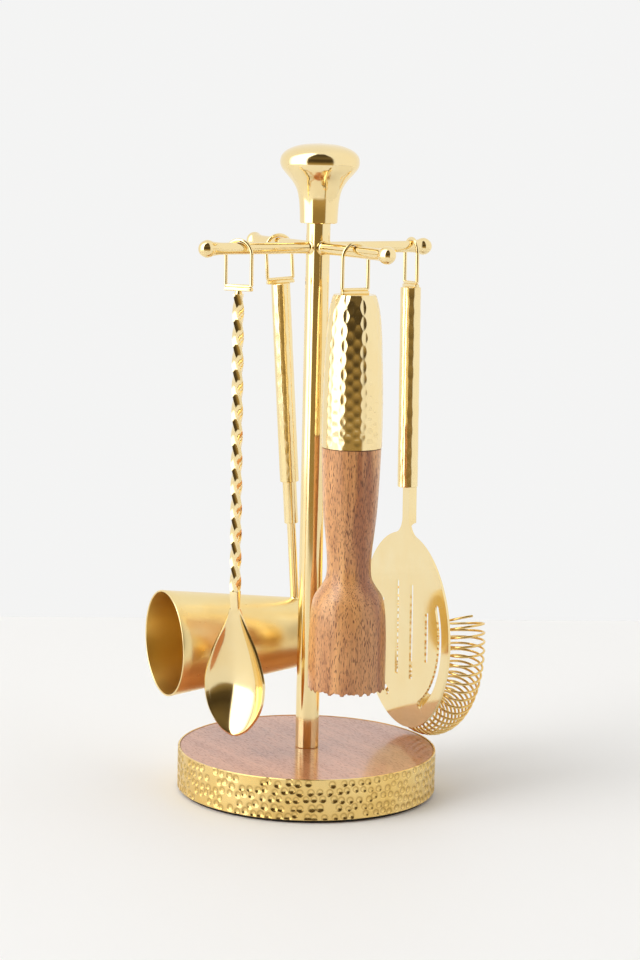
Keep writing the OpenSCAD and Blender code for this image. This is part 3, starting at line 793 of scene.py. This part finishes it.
cup.data.transform(Matrix.Translation((0, 0, cup_axis))
                   @ Matrix.Rotation(math.pi / 2 + cup_tip, 4, "Y")
                   @ Matrix.Translation((0, 0, -cup_rod_at)))
hang(cup, "jigger")
smooth(cup)
fit(cup, spun, "jigger", "jigger_cup")
cup.data.materials.append(spun_shaded_inside)
for index in inner_faces:
    cup.data.polygons[index].material_index = 1


# ---- Muddler ----
# A turned wooden body with a toothed foot, under a long cap of sheet gold that is beaten all
# over with an oval punch. The cap is glued on, and leaves a fine dark line at the joint.

cap_l, cap_top_r, cap_r, cap_t = 72.6 * mm, 9.9 * mm, 14.6 * mm, 1 * mm
cap_foot = tool_top - cap_l
lid_r = cap_top_r * 0.9
cap_line = curve_through([
    (cap_r - 0.15 * mm, 0), (cap_r, cap_l * 0.19), (cap_r * 0.98, cap_l * 0.42),
    (cap_r * 0.935, cap_l * 0.64), (cap_r * 0.89, cap_l * 0.79), (cap_r * 0.83, cap_l * 0.89),
    (cap_r * 0.75, cap_l * 0.965), (cap_top_r, cap_l)], 18)
cap = turn("hammered_cap", [(cap_r - cap_t, 0.0), (cap_r - 0.4 * mm, 0.0)] + cap_line
           + [(lid_r, cap_l), (lid_r, cap_l - cap_t),
              (cap_r * 0.75 - cap_t, cap_l * 0.955), (cap_r * 0.89 - cap_t, cap_l * 0.79),
              (cap_r * 0.98 - cap_t, cap_l * 0.42), (cap_r - cap_t, 0.0)], 220, solid=False)
random.seed(11)
cap_columns, cap_rows, cap_rim, cap_mark_depth = 13, 23, 2.2 * mm, 0.19 * mm
cap_marks = []
for row in range(cap_rows):
    share = (row + 0.6) / cap_rows
    apart = cap_l / cap_rows * (0.75 + 0.5 * share)
    for column in range(cap_columns):
        cap_marks.append((
            (column + 0.5 * (row % 2) + random.uniform(-0.08, 0.08)) * math.tau / cap_columns,
            cap_rim + (cap_l - cap_rim) * share * (0.75 + 0.25 * share)
            + random.uniform(-0.2, 0.2) * apart,
            random.uniform(1.75, 2) * (1 - 0.2 * share) * mm, random.uniform(0.82, 0.95) * apart))
hammer(cap, cap_marks, cap_mark_depth)
cap.data.transform(Matrix.Translation((0, 0, cap_foot)))
lid = turn("lid", [(lid_r, tool_top - cap_t), (lid_r, tool_top - 0.02 * mm),
                   (1.9 * mm, tool_top)], 64)
join(cap, lid)
hang(cap, "muddler")
smooth(cap, 40)
fit(cap, hammered, "muddler", "muddler_cap")

tool_wood, tree, shader = new_finish("oiled_tool_wood")
use_group(tree, shader, grain, {
    "Place": add_node(tree, "TexCoord").outputs["Object"], "Light": (0.92, 0.48, 0.18, 1),
    "Dark": (0.47, 0.16, 0.05, 1), "Pore": (0.2, 0.07, 0.025, 1), "Fineness": 2600.0}, 0.00004)
shader.inputs["Coat Weight"].default_value = 0.4
shader.inputs["Coat Roughness"].default_value = 0.22

wood_l, wood_neck_r, wood_foot_r = 117.6 * mm, 10.6 * mm, 18.7 * mm
wood_foot = cap_foot - wood_l
joint_gap, tenon_r, tenon_l = 0.45 * mm, 9.2 * mm, 50 * mm
wood_line = curve_through([
    (wood_foot_r - 0.9 * mm, 0), (wood_foot_r, 1.6 * mm), (wood_foot_r, wood_l * 0.17),
    (wood_foot_r * 0.978, wood_l * 0.28), (wood_foot_r * 0.935, wood_l * 0.35),
    (wood_foot_r * 0.865, wood_l * 0.387), (wood_foot_r * 0.715, wood_l * 0.423),
    (wood_neck_r * 1.06, wood_l * 0.457), (wood_neck_r, wood_l * 0.5),
    (wood_neck_r * 1.03, wood_l * 0.571), (wood_neck_r * 1.13, wood_l * 0.656),
    (wood_neck_r * 1.225, wood_l * 0.742), (cap_r - 1 * mm, wood_l * 0.848),
    (cap_r - 0.35 * mm, wood_l - joint_gap)], 5)
wood = turn("muddler_wood", [(min(r, wood_foot_r), wood_foot + z) for r, z in wood_line]
            + [(cap_r - 1.6 * mm, cap_foot - joint_gap), (cap_r - 1.6 * mm, cap_foot),
               (tenon_r, cap_foot), (tenon_r, cap_foot + tenon_l)], 128)
tooth_rows, tooth_d = 9, 1.5 * mm
cutters = []
for quarter in (0, 1):
    for k in range(tooth_rows):
        aside = (k - (tooth_rows - 1) / 2) * 2 * wood_foot_r / tooth_rows
        bpy.ops.object.select_all(action="DESELECT")
        bpy.ops.mesh.primitive_cube_add(size=1)
        groove = bpy.context.object
        groove.data.transform(
            Matrix.Translation((0, 0, wood_foot)) @ Matrix.Rotation(quarter * math.pi / 2, 4, "Z")
            @ Matrix.Translation((aside, 0, 0)) @ Matrix.Rotation(math.pi / 4, 4, "Y")
            @ Matrix.Diagonal((tooth_d * 1.4, 3 * wood_foot_r, tooth_d * 1.4, 1)))
        cutters.append(groove)
cutter = join(*cutters)
bpy.ops.object.select_all(action="DESELECT")
wood.select_set(True)
bpy.context.view_layer.objects.active = wood
teeth = wood.modifiers.new("teeth", "BOOLEAN")
teeth.object = cutter
teeth.solver = "EXACT"
teeth.use_self = True
bpy.ops.object.modifier_apply(modifier="teeth")
bpy.data.objects.remove(cutter)
hang(wood, "muddler")
smooth(wood, 38)
fit(wood, tool_wood, "muddler", "muddler_body")


# ---- Strainer ----
# One plate cut and pierced from sheet, its tang folded to a channel that runs up into the
# grip, with a coil spring hooked round the back of its rim.

strainer_foot = make_grip("strainer", 5.1 * mm, 99.5 * mm)

bpy.ops.object.select_all(action="DESELECT")
plate = bpy.data.objects.new("pierced_plate", nodes["strainer_plate"].data.copy())
bpy.context.scene.collection.objects.link(plate)
plate.select_set(True)
bpy.context.view_layer.objects.active = plate
bpy.ops.object.mode_set(mode="EDIT")
bpy.ops.mesh.select_all(action="SELECT")
bpy.ops.mesh.remove_doubles(threshold=0.00002)
bpy.ops.object.mode_set(mode="OBJECT")
eased = plate.modifiers.new("eased", "BEVEL")
eased.width = 0.22 * mm
eased.segments = 2
eased.limit_method = "ANGLE"
eased.angle_limit = math.radians(50)
bpy.ops.object.modifier_apply(modifier="eased")
smooth(plate, 30)
level = plate.modifiers.new("level", "WEIGHTED_NORMAL")
level.weight = 100
level.keep_sharp = True
bpy.ops.object.modifier_apply(modifier="level")
fit(plate, polished, "strainer", "strainer_plate")

plate_r, tang_l, plate_back = 49.3 * mm, 24.5 * mm, 0.4 * mm
plate_z = strainer_foot - tang_l - plate_r + 1.5 * mm
spring_turns, coil_r, spring_wire_r, spring_path_r = 40, 9.6 * mm, 0.6 * mm, 44 * mm
spring_gap, end_spacing = 0.3 * mm, 0.0225
spring_y = plate_back + spring_gap + spring_wire_r + coil_r
spring_from, spring_to = math.radians(-196), math.radians(16)


def spring_point(t):
    """The middle of the wire, a coil wound round an arc and spaced wider at its two ends."""
    t += end_spacing * math.sin(2 * math.tau * (t - 0.25) + math.pi)
    spot = spring_from + (spring_to - spring_from) * t
    coil = math.tau * spring_turns * t
    reach = spring_path_r + coil_r * math.cos(coil)
    return (reach * math.cos(spot), spring_y + coil_r * math.sin(coil),
            plate_z + reach * math.sin(spot))


drawn_wire = gold("drawn_wire_plate", 0.12, 0.1, 0.000002, bright=(0.9, 0.66, 0.27, 1),
                  deep=(0.8, 0.53, 0.17, 1))
spring_steps = spring_turns * 32
spring = bend_wire("coil_spring", [spring_point(i / spring_steps) for i in range(spring_steps + 1)],
                   spring_wire_r, sides=2)
hang(spring, "strainer")
smooth(spring, 60)
fit(spring, drawn_wire, "spring", "strainer_spring")
